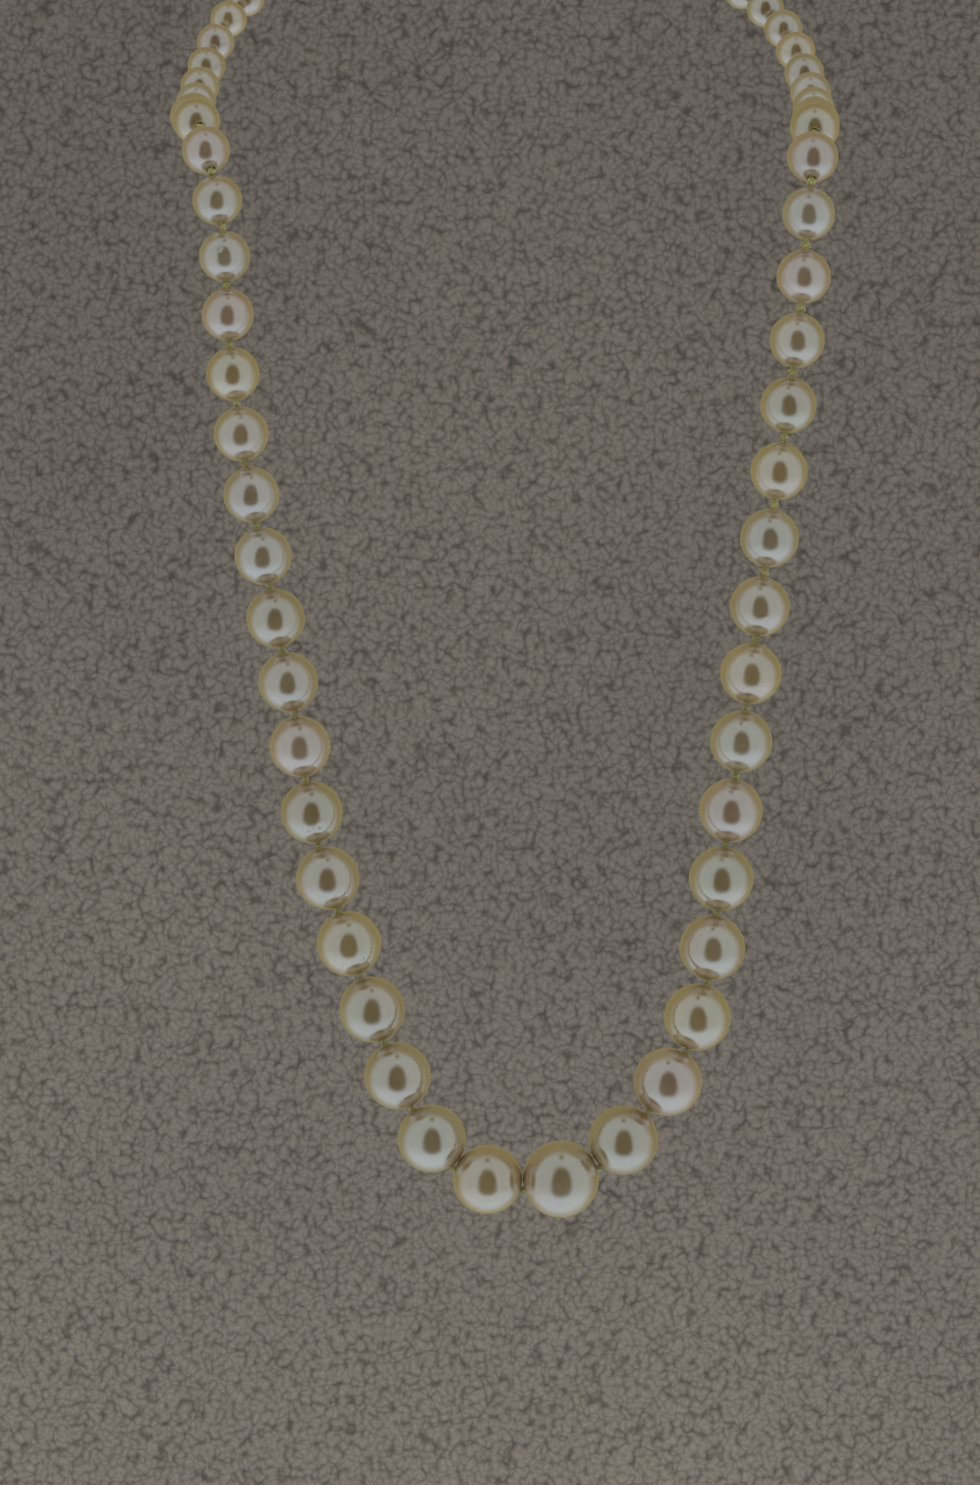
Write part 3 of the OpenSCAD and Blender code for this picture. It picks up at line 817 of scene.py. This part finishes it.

# cup: a plain rolled rim, and eight claws over the pearl
bag = Bag()
zc, rs = 1.35 + 0.45 + 1.25, 1.25
v, f = lathe([(0.3, 1.62), (1.0, 1.62), (1.42, 1.75), (1.46, 2.1), (1.38, 2.46), (1.30, 2.50), (1.25, 2.42), (1.02, 2.05), (0.6, 1.86), (0.3, 1.84)], 48)
bag.add(st(v), f)
v, f = lathe([(0.001, 3.0), (0.2, 2.98), (0.28, 2.85), (0.28, 1.7)], 16)
bag.add(st(v), f)
for k in range(8):
    a = 2 * math.pi * k / 8 + 0.2
    t = np.linspace(0, 1, 9)
    ang = 0.42 + (0 - 0.42) * 0 + t * 0.62
    rr = np.where(t < 0.35, 1.42 - 0.02 * t, (rs + 0.06) * np.cos((t - 0.35) * 0.75))
    zz = np.where(t < 0.35, 1.75 + 1.9 * t, zc + (rs + 0.06) * np.sin((t - 0.35) * 0.75) - 0.62)
    p = np.stack([rr * math.cos(a), rr * math.sin(a), zz], 1)
    v, f = tube(st(p), np.linspace(0.13, 0.09, 9), 7)
    bag.add(v, f)
cup = bag.object("clasp_pearl_cup", [m_gold])
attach(cup, "right_nape")
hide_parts("clasp_cup")

# half-drilled: whole above, with the peg's hole below
bag = Bag()
low = math.asin(0.36 / 1.25)
prof = [(0.34, zc - 0.1), (0.34, zc - 1.25 * math.cos(low) + 0.05)]
prof += [(1.25 * math.sin(t), zc - 1.25 * math.cos(t)) for t in np.linspace(low, math.pi - 0.02, 46)]
prof = [(0.001, zc - 0.1)] + prof + [(0.0005, zc + 1.25)]
v, f = lathe(prof, 64)
bag.add(st(v), f)
sp = bag.object("clasp_seed_pearl", [NACRE[4]])
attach(sp, "right_nape")
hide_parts("clasp_set_pearl")


# ---------------------------------------------------------------- backdrop, light and camera
bd, nt, p = new_mat("backdrop_suede")
co = nt.nodes.new("ShaderNodeTexCoord")
warp = node(nt, "ShaderNodeTexNoise", Scale=520.0, Detail=2.0, Roughness=0.5)
nt.links.new(co.outputs["Object"], warp.inputs["Vector"])
add = nt.nodes.new("ShaderNodeMix")
add.data_type, add.blend_type = "RGBA", "ADD"
add.inputs[0].default_value = 0.0014
nt.links.new(co.outputs["Object"], add.inputs[6])
nt.links.new(warp.outputs["Color"], add.inputs[7])
cell = node(nt, "ShaderNodeTexVoronoi", Scale=1250.0)
cell.feature = "F1"
nt.links.new(add.outputs[2], cell.inputs["Vector"])
# suede grain: the cells' own colour, paler in the middle, with painted shade darkening the creases between them where
# the bump sinks
cr = ramp(nt, [(0.0, (0.72, 0.56, 0.455)), (0.50, (0.59, 0.46, 0.37)), (0.95, (0.30, 0.23, 0.18))])
nt.links.new(cell.outputs["Distance"], cr.inputs["Fac"])
blot = node(nt, "ShaderNodeTexNoise", Scale=14.0, Detail=2.0)
nt.links.new(co.outputs["Object"], blot.inputs["Vector"])
br = ramp(nt, [(0.3, (0.90, 0.90, 0.90)), (0.7, (1.06, 1.05, 1.04))])
nt.links.new(blot.outputs["Fac"], br.inputs["Fac"])
mul = nt.nodes.new("ShaderNodeMix")
mul.data_type, mul.blend_type = "RGBA", "MULTIPLY"
mul.inputs[0].default_value = 1.0
nt.links.new(cr.outputs["Color"], mul.inputs[6])
nt.links.new(br.outputs["Color"], mul.inputs[7])
# painted shade: the suede's colour is multiplied darker towards the top of the backdrop, a fall-off of light painted
# into it
split = nt.nodes.new("ShaderNodeSeparateXYZ")
nt.links.new(co.outputs["Object"], split.inputs[0])
rise = nt.nodes.new("ShaderNodeMapRange")
rise.inputs["From Min"].default_value = -0.15
rise.inputs["From Max"].default_value = 0.03
nt.links.new(split.outputs["Z"], rise.inputs["Value"])
top_shade_ramp = ramp(nt, [(0.0, (1.06, 1.06, 1.06)), (1.0, (0.74, 0.74, 0.74))])
nt.links.new(rise.outputs["Result"], top_shade_ramp.inputs["Fac"])
shade = nt.nodes.new("ShaderNodeMix")
shade.data_type, shade.blend_type = "RGBA", "MULTIPLY"
shade.inputs[0].default_value = 1.0
nt.links.new(mul.outputs[2], shade.inputs[6])
nt.links.new(top_shade_ramp.outputs["Color"], shade.inputs[7])
nt.links.new(shade.outputs[2], p.inputs["Base Color"])
bump = node(nt, "ShaderNodeBump", Strength=1.0, Distance=0.0007)
bump.invert = True
nt.links.new(cell.outputs["Distance"], bump.inputs["Height"])
nt.links.new(bump.outputs["Normal"], p.inputs["Normal"])
p.inputs["Roughness"].default_value = 0.95
p.inputs["Specular IOR Level"].default_value = 0.1
# seen from the front only, so that the other views aren't blocked
geo = nt.nodes.new("ShaderNodeNewGeometry")
clear = nt.nodes.new("ShaderNodeBsdfTransparent")
pick = nt.nodes.new("ShaderNodeMixShader")
outn = nt.nodes["Material Output"]
nt.links.new(geo.outputs["Backfacing"], pick.inputs[0])
nt.links.new(p.outputs["BSDF"], pick.inputs[1])
nt.links.new(clear.outputs["BSDF"], pick.inputs[2])
nt.links.new(pick.outputs[0], outn.inputs["Surface"])
wall = make("backdrop", [(-0.6, 0.12, -0.7), (0.6, 0.12, -0.7), (0.6, 0.12, 0.6), (-0.6, 0.12, 0.6)], [(0, 1, 2, 3)], [bd], False)
wall.visible_glossy = False
wall.visible_diffuse = False
wall.visible_shadow = False
wall.visible_transmission = False

# A light tent: pale all round, open towards the camera in an egg shape, brighter below,
# with the warm cloth of the stand behind.
world = bpy.data.worlds.new("tent")
bpy.context.scene.world = world
world.use_nodes = True
nt = world.node_tree
for n in list(nt.nodes):
    nt.nodes.remove(n)


def math_node(op, a, b=None, c=None, clamp=False):
    n = nt.nodes.new("ShaderNodeMath")
    n.operation = op
    n.use_clamp = clamp
    for k, v in enumerate((a, b, c)):
        if v is None:
            continue
        if isinstance(v, (int, float)):
            n.inputs[k].default_value = v
        else:
            nt.links.new(v, n.inputs[k])
    return n.outputs[0]


def soft(value, edge, width):
    """0 below edge - width, 1 above edge + width."""
    n = nt.nodes.new("ShaderNodeMapRange")
    n.interpolation_type = "SMOOTHSTEP"
    nt.links.new(value, n.inputs["Value"])
    n.inputs["From Min"].default_value = edge - width
    n.inputs["From Max"].default_value = edge + width
    return n.outputs["Result"]


def over(low, high, fac):
    n = nt.nodes.new("ShaderNodeMix")
    n.data_type = "RGBA"
    for k, v in ((0, fac), (6, low), (7, high)):
        if isinstance(v, tuple):
            n.inputs[k].default_value = (*v, 1)
        else:
            nt.links.new(v, n.inputs[k])
    return n.outputs[2]


tc = nt.nodes.new("ShaderNodeTexCoord")
sep = nt.nodes.new("ShaderNodeSeparateXYZ")
nt.links.new(tc.outputs["Generated"], sep.inputs[0])
X, Y, Z = sep.outputs

TENT, FLOOR, CLOTH, HOLE = (0.52, 0.60, 0.63), (0.72, 0.86, 1.00), (0.26, 0.225, 0.105), (0.012, 0.009, 0.009)
# Everything round the pearls is laid out as a ball shows it to someone in front: px to the
# right and pz up on its disc, rho the distance from its middle.
den = math_node("MAXIMUM", math_node("SQRT", math_node("MULTIPLY", math_node("SUBTRACT", 1.0, Y), 2.0)), 0.02)
px = math_node("DIVIDE", X, den)
pz = math_node("DIVIDE", Z, den)
rho = math_node("SQRT", math_node("MAXIMUM", math_node("MULTIPLY", math_node("ADD", Y, 1.0), 0.5), 0.0))
# brighter floor sheet below a soft horizon
sky = over(FLOOR, TENT, soft(pz, -0.36, 0.22))
# warm cloth behind, reaching further forward above
edge = math_node("ADD", rho, math_node("MULTIPLY", pz, 0.115))
sky = over(sky, CLOTH, soft(edge, 0.775, 0.12))
# the opening towards the camera, an egg with its narrow end up
ev = math_node("DIVIDE", math_node("ADD", pz, 0.05), 0.385)
ew = math_node("MULTIPLY", math_node("SUBTRACT", 1.0, math_node("MULTIPLY", ev, 0.18)), 0.265)
eu = math_node("ABSOLUTE", math_node("DIVIDE", px, ew))
egg = math_node("ADD", math_node("POWER", eu, 2.4), math_node("POWER", math_node("ABSOLUTE", ev), 2.6))
hole = math_node("SUBTRACT", 1.0, soft(egg, 0.95, 0.55))
sky = over(sky, HOLE, hole)
# the small vent above it
vx, vz = px, math_node("SUBTRACT", pz, 0.59)
vent = math_node("SQRT", math_node("ADD", math_node("MULTIPLY", vx, vx), math_node("MULTIPLY", vz, vz)))
sky = over((0.20, 0.16, 0.11), sky, soft(vent, 0.062, 0.022))
bg = nt.nodes.new("ShaderNodeBackground")
nt.links.new(sky, bg.inputs["Color"])
bg.inputs["Strength"].default_value = 1.0
wo = nt.nodes.new("ShaderNodeOutputWorld")
nt.links.new(bg.outputs[0], wo.inputs["Surface"])

scene = bpy.context.scene
scene.view_settings.view_transform = "Standard"
scene.view_settings.look = "None"

cam = bpy.data.cameras.new("camera")
cam.sensor_fit = "AUTO"
cam.sensor_width = 36
cam.lens = 136
cam.dof.use_dof = False
co_ = bpy.data.objects.new("camera", cam)
scene.collection.objects.link(co_)
co_.location = (-0.0017, -0.55, -0.061)
co_.rotation_euler = (math.radians(90), 0, 0)
scene.camera = co_
